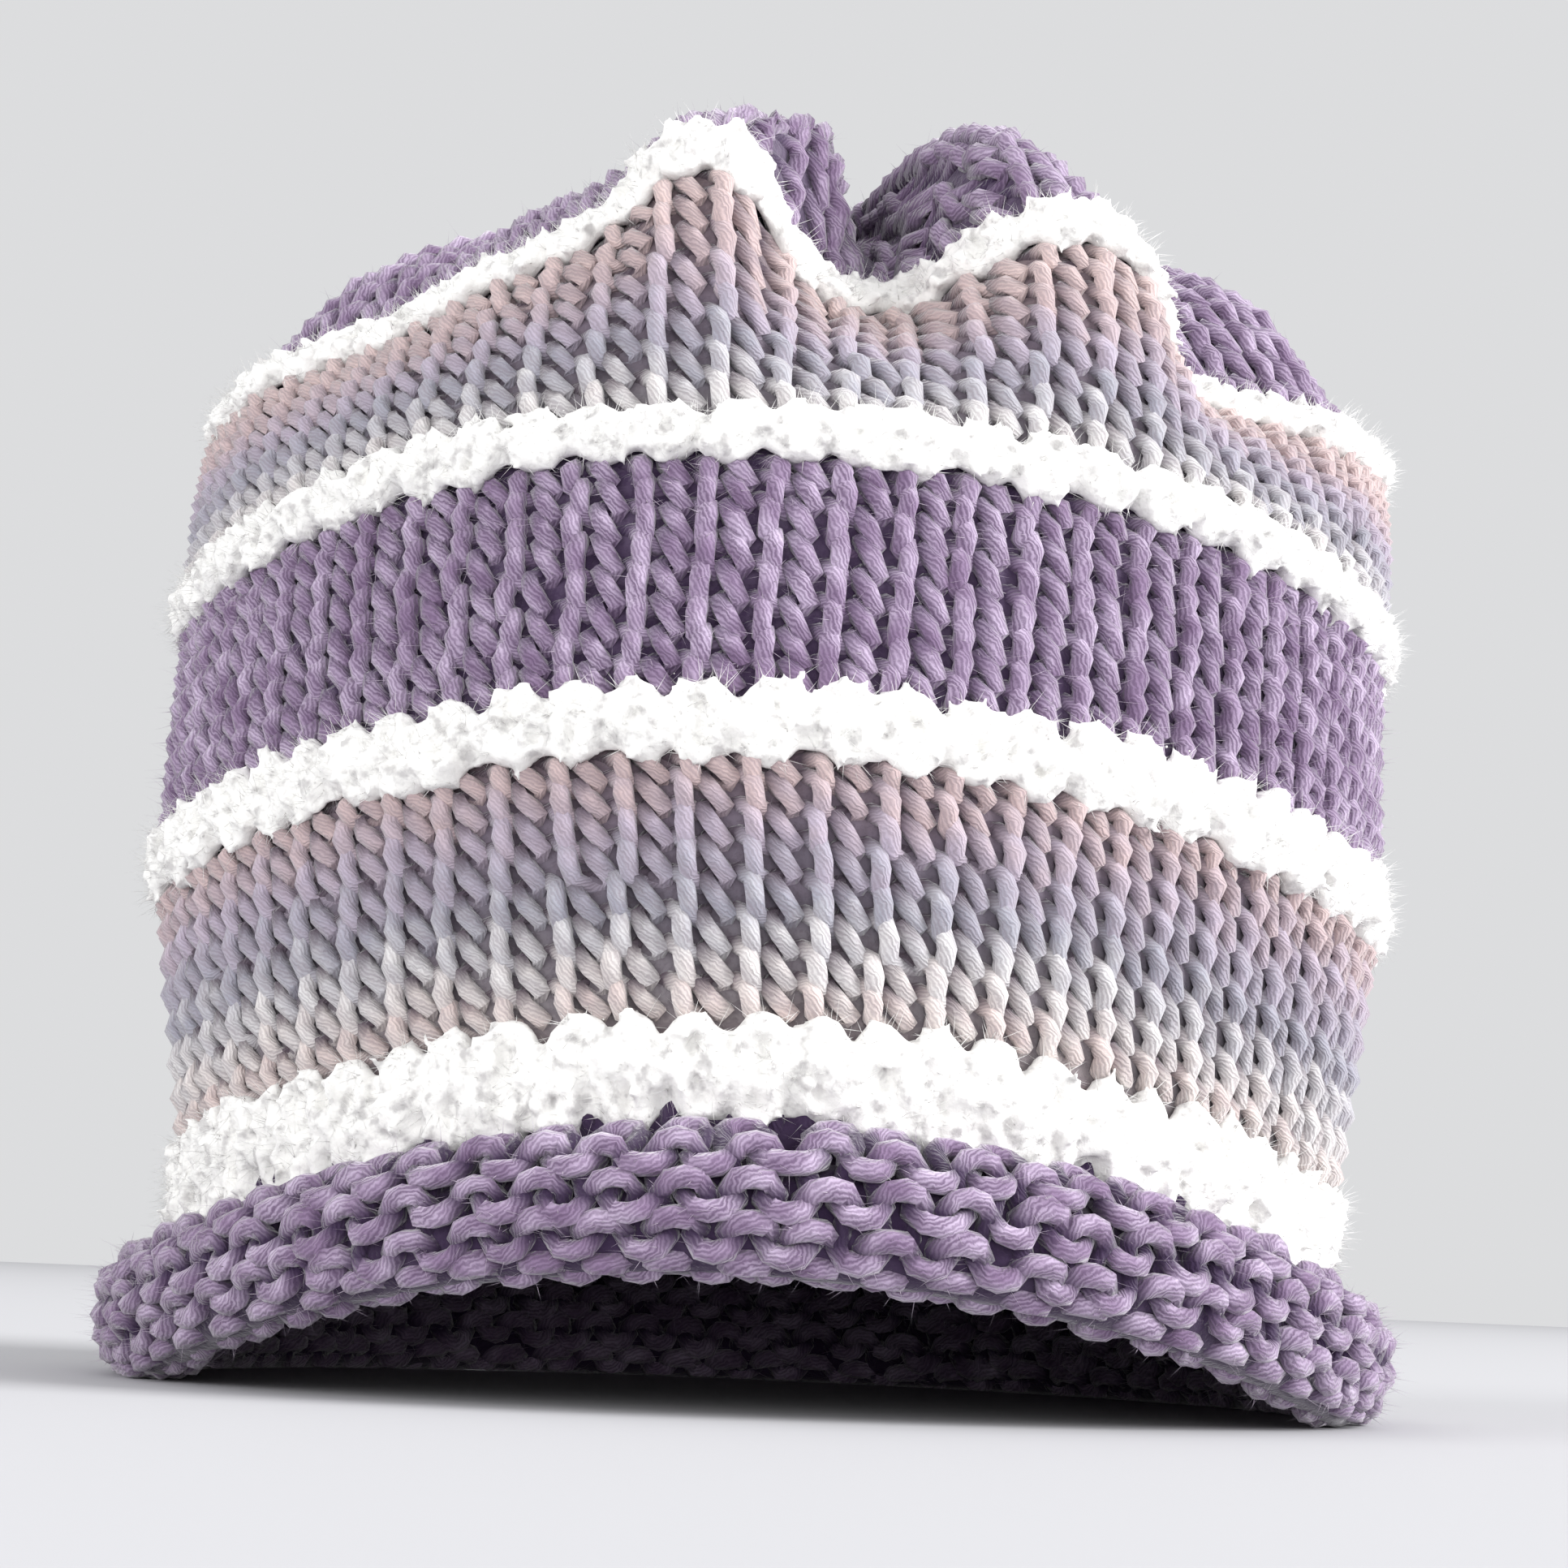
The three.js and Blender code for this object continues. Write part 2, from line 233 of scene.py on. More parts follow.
def knit_row(lay, place, pitch, stitches, yarn, tone=0.0, tone_run=0.0, shift=0.0):
    """One round of stitches on the cloth that lay gives, with its tone and its painted depth shade."""
    even = np.arange(stitches * STITCH_STEPS) / STITCH_STEPS
    along = even - CLOSER_AT_BENDS * np.sin(2 * FULL_TURN * even) / FULL_TURN
    phase = FULL_TURN * along
    wobble = yarn["wobble"]
    across = along + yarn["waist"] * np.sin(2 * phase) + yarn["slant"] * np.cos(phase)
    across = across - yarn["left_leg_back"] * np.sin(phase)
    across = across + shift + uneven_stitches(stitches, wobble)
    rise = -yarn["loop"] * np.cos(phase) + uneven_stitches(stitches, wobble)
    front = -np.cos(2 * phase)
    lift = yarn["lift"] + yarn["swing"] * front - yarn["right_leg_out"] * np.sin(phase)
    lift = lift + uneven_stitches(stitches, yarn["radius"] * wobble)
    # Painted shade on each slanted left leg, growing towards its top.
    dim = yarn["left_leg_painted_shade"] * np.sin(phase - DIM_UP_THE_LEG).clip(0)
    turn = 360 * across / stitches - 180
    points, facing = lay(turn, place + rise * pitch)
    points = points + facing * lift[:, None]
    radius = yarn["radius"] * (1 + uneven_stitches(stitches, yarn["lumpy"]))
    points[:, 2] = np.maximum(points[:, 2], radius)
    return {
        "points": points,
        "facing": facing,
        "radius": radius,
        "tufts": yarn["tufts"],
        "tone": tone + tone_run * along / stitches,
        # Painted shade: darker where the yarn turns away from the side that shows.
        "shade": 1 - yarn["sunk_shade"] * (1 - front * yarn["side"]) / 2 - dim,
    }


def ahead(values):
    """The values one step on, round a closed row."""
    return np.roll(values, -1, axis=0)


# The map for baking. Each round of yarn is cut into strips that lie one above another, with the
# backing and then the fibres on top.
BAKE_EDGE = 0.01
BAKE_STRIPS = 5
BAKE_STRIP_EDGE = 0.1
BAKE_YARN_TOP = 0.86
BAKE_WALL = (0.88, 0.96)
BAKE_FIBRES = (0.97, 0.99)
BAKE_FIBRE_WIDTH = 0.2
BAKE_FIBRE_START = 0.02


def yarn_tubes(rows, sides):
    """The rows as closed tubes: points, four-sided faces, and their tones, shades and maps."""
    points, faces, tones, shades, maps, bake_maps = [], [], [], [], [], []
    start = 0
    strips = len(rows) * BAKE_STRIPS
    for number, row in enumerate(rows):
        path = row["points"]
        count = len(path)
        forward = unit(ahead(path) - np.roll(path, 1, axis=0))
        sideways = unit(np.cross(forward, row["facing"]))
        upright = np.cross(sideways, forward)
        angle = FULL_TURN * np.arange(sides) / sides
        ring = np.cos(angle)[:, None] * upright[:, None]
        ring = ring + np.sin(angle)[:, None] * sideways[:, None]
        swell = 1 + row["tufts"] * rng.normal(0, 1, (count, sides)).clip(-2, 2)
        ring = ring * (row["radius"][:, None] * swell)[..., None]
        points.append((path[:, None] + ring).reshape(-1, 3))
        step = np.arange(count)[:, None]
        side = np.arange(sides)[None, :]
        next_step = (step + 1) % count
        next_side = (side + 1) % sides
        corners = [
            step * sides + side,
            step * sides + next_side,
            next_step * sides + next_side,
            next_step * sides + side,
        ]
        faces.append(start + np.stack(corners, -1).reshape(-1, 4))
        start += count * sides
        tones.append(np.repeat(row["tone"], sides))
        shades.append(np.repeat(row["shade"], sides))
        lengths = np.append(0, np.cumsum(np.linalg.norm(ahead(path) - path, axis=1)))
        here = np.broadcast_to(lengths[:-1, None], (count, sides))
        there = np.broadcast_to(lengths[1:, None], (count, sides))
        low = np.broadcast_to(side / sides, (count, sides))
        high = np.broadcast_to((side + 1) / sides, (count, sides))
        u = np.stack([here, here, there, there], -1)
        v = np.stack([low, high, high, low], -1)
        maps.append(np.stack([u, v], -1).reshape(-1, 2))
        strip_steps = math.ceil(count / BAKE_STRIPS)
        strip = np.broadcast_to(step // strip_steps, (count, sides))[..., None]
        near = np.broadcast_to((step % strip_steps) / strip_steps, (count, sides))
        far = near + 1 / strip_steps
        bake_u = BAKE_EDGE + (1 - 2 * BAKE_EDGE) * np.stack([near, near, far, far], -1)
        in_strip = BAKE_STRIP_EDGE + (1 - 2 * BAKE_STRIP_EDGE) * v
        bake_v = (number * BAKE_STRIPS + strip + in_strip) / strips * BAKE_YARN_TOP
        bake_maps.append(np.stack([bake_u, bake_v], -1).reshape(-1, 2))
    return [np.concatenate(each) for each in (points, faces, tones, shades, maps, bake_maps)]


# Fibres. The yarns are a little hairy: fine ends stand out of them all over. The odd way is only
# there to find a way across each fibre.
ROOT_DEPTH = 0.8
STRAY = 0.5
ODD_WAY = np.array([0.31, 0.52, 0.79])
FLOOR_CLEAR = 0.2
FIBRE_MAP = [[0.1, 0.0], [0.4, 0.0], [0.25, 1.0]]


def scattered(rows, count, spread, side):
    """Places on the rows' yarns: roots, ways out of the yarn, and tones."""
    chosen = rng.integers(0, len(rows), count)
    roots = np.empty((count, 3))
    out = np.empty((count, 3))
    tones = np.empty(count)
    for number, row in enumerate(rows):
        mine = np.flatnonzero(chosen == number)
        step = rng.integers(0, len(row["points"]), len(mine))
        way = unit(row["facing"][step] * side + rng.normal(0, spread, (len(mine), 3)))
        roots[mine] = row["points"][step] + way * row["radius"][step, None] * ROOT_DEPTH
        out[mine] = unit(way + rng.normal(0, spread * STRAY, (len(mine), 3)))
        tones[mine] = row["tone"][step]
    return roots, out, tones


def three_corners(centres, out, thickness):
    """Three points round each centre, square to the ways out."""
    across = unit(np.cross(out, ODD_WAY))
    other = np.cross(out, across)
    corners = []
    for corner in range(3):
        angle = FULL_TURN * corner / 3
        corners.append(centres + thickness * (math.cos(angle) * across + math.sin(angle) * other))
    return corners


def fibres(rows, count, lengths, thickness, spread, side, level=1.0, lighter=0.0):
    """Fine spikes out of the rows' yarns: points, three-sided faces and tones."""
    roots, out, tones = scattered(rows, count, spread, side)
    tones = tones + lighter
    out = unit(out * [1, 1, level])
    length = rng.uniform(lengths[0], lengths[1], count)[:, None]
    corners = three_corners(roots, out, thickness * lengths[0] / length)
    corners.append(roots + out * length)
    points = np.stack(corners, 1).reshape(-1, 3)
    points[:, 2] = np.maximum(points[:, 2], FLOOR_CLEAR)
    first = 4 * np.arange(count)[:, None, None]
    faces = first + np.array([[0, 1, 3], [1, 2, 3], [2, 0, 3], [0, 2, 1]])
    return points, faces.reshape(-1, 3), np.repeat(tones, 4)


def knit_mesh(name, tubes, hairs):
    """One mesh of all the yarn and fibres of a piece."""
    tube_points, quads, tones, shades, maps, bake_maps = tubes
    hair_points, triangles, hair_tones = hairs
    triangles = triangles + len(tube_points)
    corners = np.concatenate([quads.ravel(), triangles.ravel()])
    starts = np.concatenate([
        4 * np.arange(len(quads)),
        4 * len(quads) + 3 * np.arange(len(triangles)),
    ])
    points = np.concatenate([tube_points, hair_points]) * MM
    mesh = bpy.data.meshes.new(name)
    mesh.vertices.add(len(points))
    mesh.vertices.foreach_set("co", points.astype(np.float32).ravel())
    mesh.loops.add(len(corners))
    mesh.loops.foreach_set("vertex_index", corners.astype(np.int32))
    mesh.polygons.add(len(starts))
    mesh.polygons.foreach_set("loop_start", starts.astype(np.int32))
    mesh.update(calc_edges=True)
    tone = mesh.attributes.new("tone", "FLOAT", "POINT")
    tone.data.foreach_set("value", np.concatenate([tones, hair_tones]).astype(np.float32))
    shade = mesh.attributes.new("shade", "FLOAT", "POINT")
    hair_shades = np.full(len(hair_points), 1.0)
    shade.data.foreach_set("value", np.concatenate([shades, hair_shades]).astype(np.float32))
    hair_maps = np.tile(FIBRE_MAP, (len(triangles), 1))
    bake_size = [BAKE_FIBRE_WIDTH, BAKE_FIBRES[1] - BAKE_FIBRES[0]]
    bake_hairs = hair_maps * bake_size + [BAKE_FIBRE_START, BAKE_FIBRES[0]]
    for layer_name, on_yarn, on_hairs in (("Yarn", maps, hair_maps), ("OFBake", bake_maps, bake_hairs)):
        layer = mesh.uv_layers.new(name=layer_name)
        spots = np.concatenate([on_yarn, on_hairs]).astype(np.float32)
        layer.data.foreach_set("uv", spots.ravel())
    mesh.polygons.foreach_set("use_smooth", np.ones(len(starts), bool))
    piece = bpy.data.objects.new(name, mesh)
    bpy.context.scene.collection.objects.link(piece)
    return piece


# Backing. Behind the loops the crossing yarns close the knit: a thin wall stands for them.
# Its colour is painted shade, set by its shade, as the gaps between the loops lie in shadow.
BACKING_WALL = 1.2
BACKING_STEPS = 144


def backing(lay, low, high, tall, depth, drop=0.0, tones=(0.0, 0.0), shade=0.0):
    """A wall round the hat from one place on the cloth to another, some millimetres deep."""
    bpy.ops.object.select_all(action="DESELECT")
    bpy.ops.mesh.primitive_grid_add(x_subdivisions=BACKING_STEPS, y_subdivisions=tall, size=2)
    wall = bpy.context.object
    flat = np.empty(3 * len(wall.data.vertices))
    wall.data.vertices.foreach_get("co", flat)
    flat = flat.reshape(-1, 3)
    points, facing = lay(180 * flat[:, 0], low + (high - low) * (flat[:, 1] + 1) / 2)
    points = points - facing * depth
    points[:, 2] = np.maximum(points[:, 2] - drop, BACKING_WALL / 2)
    wall.data.vertices.foreach_set("co", (points * MM).ravel())
    wall.data.update()
    tone = wall.data.attributes.new("tone", "FLOAT", "POINT")
    tone.data.foreach_set("value", tones[0] + (tones[1] - tones[0]) * (flat[:, 1] + 1) / 2)
    # Painted shade over the whole wall.
    depth_shade = wall.data.attributes.new("shade", "FLOAT", "POINT")
    depth_shade.data.foreach_set("value", np.full(len(flat), shade))
    bpy.ops.object.mode_set(mode="EDIT")
    bpy.ops.mesh.select_all(action="SELECT")
    bpy.ops.mesh.remove_doubles(threshold=1e-6)
    bpy.ops.mesh.normals_make_consistent(inside=False)
    bpy.ops.object.mode_set(mode="OBJECT")
    thick = wall.modifiers.new("Thickness", "SOLIDIFY")
    thick.thickness = BACKING_WALL * MM
    thick.offset = 0
    bpy.ops.object.modifier_apply(modifier=thick.name)
    bpy.ops.object.shade_smooth()
    wall.data.uv_layers[0].name = "Yarn"
    bake_map = wall.data.uv_layers.new(name="OFBake")
    spots = np.empty(2 * len(wall.data.loops))
    wall.data.uv_layers["Yarn"].data.foreach_get("uv", spots)
    bake_size = [1 - 2 * BAKE_EDGE, BAKE_WALL[1] - BAKE_WALL[0]]
    spots = spots.reshape(-1, 2) * bake_size + [BAKE_EDGE, BAKE_WALL[0]]
    bake_map.data.foreach_set("uv", spots.ravel())
    return wall


def joined(piece, other):
    """Two objects as one, under the first one's name."""
    bpy.ops.object.select_all(action="DESELECT")
    other.select_set(True)
    piece.select_set(True)
    bpy.context.view_layer.objects.active = piece
    bpy.ops.object.join()
    return piece


class Shade:
    """A value in a material: operators on it add Math nodes."""

    def __init__(self, tree, socket=None):
        self.tree = tree
        self.socket = socket

    def node(self, kind, settings, sockets, output=0):
        made = self.tree.nodes.new(kind)
        for name, value in settings.items():
            if name == "stops":
                ramp = made.color_ramp
                while len(ramp.elements) < len(value):
                    ramp.elements.new(1.0)
                for element, (place, colour) in zip(ramp.elements, value):
                    element.position = place
                    element.color = (*colour, 1.0)
            else:
                setattr(made, name, value)
        for name, value in sockets.items():
            if isinstance(value, Shade):
                self.tree.links.new(value.socket, made.inputs[name])
            else:
                made.inputs[name].default_value = value
        return Shade(self.tree, made.outputs[output])

    def maths(self, operation, first, second=0.0):
        return self.node("ShaderNodeMath", {"operation": operation}, {0: first, 1: second})

    def mix(self, share, first, second):
        colours = {0: share, 6: first, 7: second}
        for key in (6, 7):
            if not isinstance(colours[key], Shade):
                colours[key] = (*colours[key], 1.0)
        return self.node("ShaderNodeMix", {"data_type": "RGBA"}, colours, output=2)

    def __add__(self, other):
        return self.maths("ADD", self, other)

    def __radd__(self, other):
        return self.maths("ADD", other, self)

    def __sub__(self, other):
        return self.maths("SUBTRACT", self, other)

    def __rsub__(self, other):
        return self.maths("SUBTRACT", other, self)

    def __mul__(self, other):
        return self.maths("MULTIPLY", self, other)

    def __rmul__(self, other):
        return self.maths("MULTIPLY", other, self)


def paint(red, green, blue):
    """A colour as seen on screen, from 0 to 255, as the light it reflects."""
    shares = np.array([red, green, blue]) / 255
    light = np.where(shares <= 0.04045, shares / 12.92, ((shares + 0.055) / 1.055) ** 2.4)
    return tuple(float(value) for value in light)


# The look of a yarn. Its dye and its fuzz are noise, so many patches to the metre, and its plies are
# spun from finer strands. Painted shade mixes its colour towards deep: from the shade FULLY_LIT up, it
# shows its whole colour.
DYE_PATCHES = 150.0
FUZZ_GRAIN = 900.0
STRANDS = 6
STRAND_WAVER = 2
PLY_SHARE = 0.4
FULLY_LIT = 0.75
LEAST_LIT = 0.06


def yarn_material(name, colour_of, deep, plies, ply_pitch, fuzz, sheen, glow):
    """Plied yarn: colour_of gives its colour by its tone, and deep is the painted shade in its gaps."""
    material = bpy.data.materials.new(name)
    material.use_nodes = True
    tree = material.node_tree
    bench = Shade(tree)
    surface = tree.nodes["Principled BSDF"]
    yarn_map = bench.node("ShaderNodeUVMap", {"uv_map": "Yarn"}, {})
    length = bench.node("ShaderNodeSeparateXYZ", {}, {"Vector": yarn_map})
    around = Shade(tree, length.socket.node.outputs["Y"])
    tone = bench.node("ShaderNodeAttribute", {"attribute_name": "tone"}, {}, output=2)
    shade = bench.node("ShaderNodeAttribute", {"attribute_name": "shade"}, {}, output=2)
    place = bench.node("ShaderNodeTexCoord", {}, {}, output=3)
    slow = bench.node("ShaderNodeTexNoise", {}, {"Vector": place, "Scale": DYE_PATCHES, "Detail": 3.0})
    fine = bench.node("ShaderNodeTexNoise", {}, {"Vector": place, "Scale": FUZZ_GRAIN, "Detail": 3.0})
    twist = around * plies + length * (1 / ply_pitch)
    ply = bench.maths("SINE", twist * FULL_TURN) * 0.5 + 0.5
    strand_twist = twist * STRANDS + fine * STRAND_WAVER
    strands = bench.maths("SINE", strand_twist * FULL_TURN) * 0.5 + 0.5
    relief = ply * (1 - fuzz) + strands * 0.5 * (1 - fuzz) + fine * fuzz
    bump = bench.node(
        "ShaderNodeBump",
        {},
        {"Strength": 0.6, "Distance": 0.0005, "Height": relief},
    )
    # Painted shade: this is low in the grooves between the plies and strands, where the colour darkens.
    grooves = ply * PLY_SHARE + strands * (1 - PLY_SHARE)
    colour = colour_of(bench, tone, slow, grooves)
    # Painted shade: below the shade FULLY_LIT the colour is mixed towards deep.
    lit = bench.node(
        "ShaderNodeMapRange",
        {},
        {"Value": shade, "From Max": FULLY_LIT, "To Min": LEAST_LIT},
    )
    tree.links.new(bench.mix(lit, deep, colour).socket, surface.inputs["Base Color"])
    tree.links.new(bump.socket, surface.inputs["Normal"])
    surface.inputs["Roughness"].default_value = 0.85
    surface.inputs["Specular IOR Level"].default_value = 0.25
    surface.inputs["Sheen Weight"].default_value = sheen
    surface.inputs["Sheen Roughness"].default_value = 0.45
    surface.inputs["Subsurface Weight"].default_value = glow
    surface.inputs["Subsurface Radius"].default_value = (1.0, 1.0, 1.0)
    surface.inputs["Subsurface Scale"].default_value = 0.0025
    return material


# Painted shade for the gaps between the loops.
PURPLE_GAP_SHADE = paint(46, 28, 60)
# Painted shade for the grooves between the plies.
PURPLE_GROOVE_SHADE = paint(92, 71, 100)
PURPLE = paint(138, 116, 146)
PURPLE_LIGHT = paint(194, 177, 202)
PURPLE_HAIR = paint(214, 200, 216)
# Spread of the painted shade in the grooves, as shares of the dyed colour.
GROOVE_FLOOR = 0.1
GROOVE_RANGE = 0.85


def purple_colour(bench, tone, slow, grooves):
    """Purple yarn: painted shade between its plies and strands, uneven in its dye, with pale hairs."""
    patches = bench.node("ShaderNodeMapRange", {}, {"Value": slow, "From Min": 0.36, "From Max": 0.64})
    dyed = bench.mix(patches, PURPLE, PURPLE_LIGHT)
    plied = bench.mix(grooves * GROOVE_RANGE + GROOVE_FLOOR, PURPLE_GROOVE_SHADE, dyed)
    return bench.mix(tone, plied, PURPLE_HAIR)


# Radius, swing, lift and right_leg_out are in millimetres. Waist, slant, loop, left_leg_back and
# wobble are in stitches or rounds, and the rest are shares. Side is 1 where the knit side shows and
# -1 where the purl side does. Two of the shares are painted shade: one darkens the yarn where it
# turns away from the side that shows, and one darkens each slanted left leg towards its top.
PURPLE_YARN = {
    "radius": 1.48, "waist": 0.2, "slant": 0.12, "loop": 0.78, "swing": 1.3, "lift": -2.5,
    "right_leg_out": 0.2, "left_leg_back": 0.02, "wobble": 0.06, "lumpy": 0.05, "tufts": 0.03,
    "left_leg_painted_shade": 0.55, "side": 1, "sunk_shade": 0.64,
}
BRIM_YARN = {
    **PURPLE_YARN, "radius": 1.6, "slant": 0.02, "loop": 0.85, "lift": 0.0, "right_leg_out": 0.0,
    "left_leg_back": 0.0, "wobble": 0.1, "lumpy": 0.08, "left_leg_painted_shade": 0.0, "side": -1,
    "sunk_shade": 1.75,
}
BRIM_ROUNDS = 9
BRIM_FIRST_ROUND = 0.15
BRIM_LENGTH = 46.0
BRIM_HAIRS = 7000

purple_yarn = yarn_material(
    "purple_yarn", purple_colour, PURPLE_GAP_SHADE,
    plies=2, ply_pitch=8.0, fuzz=0.5, sheen=0.5, glow=0.0,
)
brim_pitch = BRIM_LENGTH / BRIM_ROUNDS
brim_rows = []
for number in range(BRIM_ROUNDS):
    down = (number + BRIM_FIRST_ROUND) * brim_pitch
    brim_rows.append(knit_row(roll_lay, down, -brim_pitch, STITCHES_ROUND, BRIM_YARN))
brim_hairs = fibres(
    brim_rows, BRIM_HAIRS, lengths=(1.5, 5), thickness=0.09, spread=0.8, side=-1,
    level=0.4, lighter=0.7,
)
brim = knit_mesh("brim_knit", yarn_tubes(brim_rows, YARN_SIDES), brim_hairs)
brim_wall = backing(roll_lay, low=-3.5, high=BRIM_LENGTH - 1, tall=24, depth=-1.3, drop=2.3)
brim = joined(brim, brim_wall)
brim.data.materials.clear()
brim.data.materials.append(purple_yarn)
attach(brim, "root")
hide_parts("brim")

# White stripes.
# Thick fluffy white yarn, two rounds to a stripe. It is fatter than the other yarns, so the four
# stripes stand proud, and the tops of their stitches scallop into the stripe above.


def cloth_points(turn, place):
    """Points on the hat's outside, on a smooth curve through the rings at each turn."""
    low = np.clip(np.floor(place).astype(int), 0, GATHER - 1)
    second = ring_points(low, turn)
    third = ring_points(low + 1, turn)
    before = ring_points(np.maximum(low - 1, 0), turn)
    after = ring_points(np.minimum(low + 2, GATHER), turn)
    first = np.where((low > 0)[..., None], before, 2 * second - third)
    fourth = np.where((low + 2 <= GATHER)[..., None], after, 2 * third - second)
    gap_1 = np.sqrt(np.linalg.norm(second - first, axis=-1, keepdims=True)).clip(1e-4)
    gap_2 = np.sqrt(np.linalg.norm(third - second, axis=-1, keepdims=True)).clip(1e-4)
    gap_3 = np.sqrt(np.linalg.norm(fourth - third, axis=-1, keepdims=True)).clip(1e-4)
    leave = (second - first) / gap_1 - (third - first) / (gap_1 + gap_2) + (third - second) / gap_2
    arrive = (third - second) / gap_2 - (fourth - second) / (gap_2 + gap_3)
    arrive = arrive + (fourth - third) / gap_3
    leave = leave * gap_2
    arrive = arrive * gap_2
    share = (place - low)[..., None]
    square = share * share
    cube = square * share
    return (
        second * (2 * cube - 3 * square + 1)
        + leave * (cube - 2 * square + share)
        + third * (3 * square - 2 * cube)
        + arrive * (cube - square)
    )


# The neighbours on the cloth that give its slope, so many degrees and rings away.
NEXT_TURN = 0.4
NEXT_PLACE = 0.02


def cloth_lay(turn, place):
    """Points and outward directions of the hat's outside, at a place counted in rings."""
    points = cloth_points(turn, place)
    round_way = cloth_points(turn + NEXT_TURN, place) - cloth_points(turn - NEXT_TURN, place)
    up_way = cloth_points(turn, place + NEXT_PLACE) - cloth_points(turn, place - NEXT_PLACE)
    return points, unit(np.cross(round_way, up_way))


# Painted shade for the gaps between the loops.
WHITE_GAP_SHADE = paint(232, 231, 231)
WHITE = paint(237, 236, 233)
# Painted shade for the grey specks where the pile parts.
WHITE_SHADE = paint(196, 194, 193)
PARTINGS = 420.0


def white_colour(bench, tone, slow, grooves):
    """Undyed white, with grey specks of painted shade where the pile parts."""
    place = bench.node("ShaderNodeTexCoord", {}, {}, output=3)
    parting = bench.node("ShaderNodeTexNoise", {}, {"Vector": place, "Scale": PARTINGS, "Detail": 3.0})
    closed = bench.node("ShaderNodeMapRange", {}, {"Value": parting, "From Min": 0.33, "From Max": 0.47})
    return bench.mix(closed, WHITE_SHADE, WHITE)


PILE_END = 0.75
PILE_UNEVEN = (0.7, 1.3)
PILE_BEND = 0.4


def pile(rows, count, lengths, thickness, spread, side):
    """Short blunt tufts all over the rows' yarns: points, three-sided faces and tones."""
    roots, out, tones = scattered(rows, count, spread, side)
    length = rng.uniform(lengths[0], lengths[1], count)[:, None]
    thick = thickness * rng.uniform(PILE_UNEVEN[0], PILE_UNEVEN[1], count)[:, None]
    bend = unit(out + rng.normal(0, PILE_BEND, (count, 3)))
    corners = three_corners(roots, out, thick)
    corners += three_corners(roots + bend * length, bend, thick * PILE_END)
    points = np.stack(corners, 1).reshape(-1, 3)
    first = 6 * np.arange(count)[:, None, None]
    faces = first + np.array([
        [0, 2, 1], [3, 4, 5], [0, 1, 4], [0, 4, 3], [1, 2, 5], [1, 5, 4], [2, 0, 3], [2, 3, 5],
    ])
    return points, faces.reshape(-1, 3), np.repeat(tones, 6)


NO_TUBES = [np.empty((0, 3)), np.empty((0, 4), int), [], [], np.empty((0, 2)), np.empty((0, 2))]

# The felted skin: its cells' width in millimetres, its smoothing, and the share of its faces kept.
SKIN_CELL = 0.68
SKIN_SOFTNESS = 0.5
SKIN_SMOOTHING = 1
SKIN_KEPT = 0.6


def felted(piece):
    """The piece with its yarn and tufts grown together into one soft skin, mapped round the hat."""
    bpy.ops.object.select_all(action="DESELECT")
    bpy.context.view_layer.objects.active = piece
    piece.select_set(True)
    skin = piece.modifiers.new("Skin", "REMESH")
    skin.mode = "VOXEL"
    skin.voxel_size = SKIN_CELL * MM
    bpy.ops.object.modifier_apply(modifier=skin.name)
    soft = piece.modifiers.new("Soft", "SMOOTH")
    soft.factor = SKIN_SOFTNESS
    soft.iterations = SKIN_SMOOTHING
    bpy.ops.object.modifier_apply(modifier=soft.name)
    lighter = piece.modifiers.new("Lighter", "DECIMATE")
    lighter.ratio = SKIN_KEPT
    bpy.ops.object.modifier_apply(modifier=lighter.name)
    bpy.ops.object.shade_smooth()
    mesh = piece.data
    for layer in list(mesh.uv_layers):
        mesh.uv_layers.remove(layer)
    for name in ("tone", "shade"):
        if name in mesh.attributes:
            mesh.attributes.remove(mesh.attributes[name])
    for name, value in (("tone", 0.0), ("shade", 1.0)):
        values = mesh.attributes.new(name, "FLOAT", "POINT")
        values.data.foreach_set("value", np.full(len(mesh.vertices), value))
    corners = np.empty(len(mesh.loops), int)
    mesh.loops.foreach_get("vertex_index", corners)
    points = np.empty(3 * len(mesh.vertices))
    mesh.vertices.foreach_get("co", points)
    points = points.reshape(-1, 3)
    turn = np.arctan2(points[:, 0], -points[:, 1]) / FULL_TURN + 0.5
    height = (points[:, 2] - points[:, 2].min()) / np.ptp(points[:, 2])
    spots = np.stack([turn, height * BAKE_YARN_TOP], -1)[corners]
    for name in ("Yarn", "OFBake"):
        layer = mesh.uv_layers.new(name=name)
        layer.data.foreach_set("uv", spots.astype(np.float32).ravel())
    return piece


WHITE_YARN = {
    "radius": 1.7, "waist": 0.11, "slant": 0.04, "loop": 0.72, "swing": 0.5, "lift": -0.9,
    "right_leg_out": 0.0, "left_leg_back": 0.0, "wobble": 0.12, "lumpy": 0.12, "tufts": 0.08,
    "left_leg_painted_shade": 0.0, "side": 1, "sunk_shade": 0.3,
}
WHITE_SIDES = 6
WHITE_ROUNDS = 2
WHITE_PILE = 5200
WHITE_HAIRS = 8000

# The wall behind a stripe reaches so many pitches below and above its middle.
WALL_BELOW = 1.05
WALL_ABOVE = 0.9
WHITE_STRIPES = {
    # node             middle  pitch
    "white_stripe_1": (0.37, 0.43),
    "white_stripe_2": (2.50, 0.36),
    "white_stripe_3": (4.50, 0.29),
    "white_stripe_4": (7.50, 0.29),
}

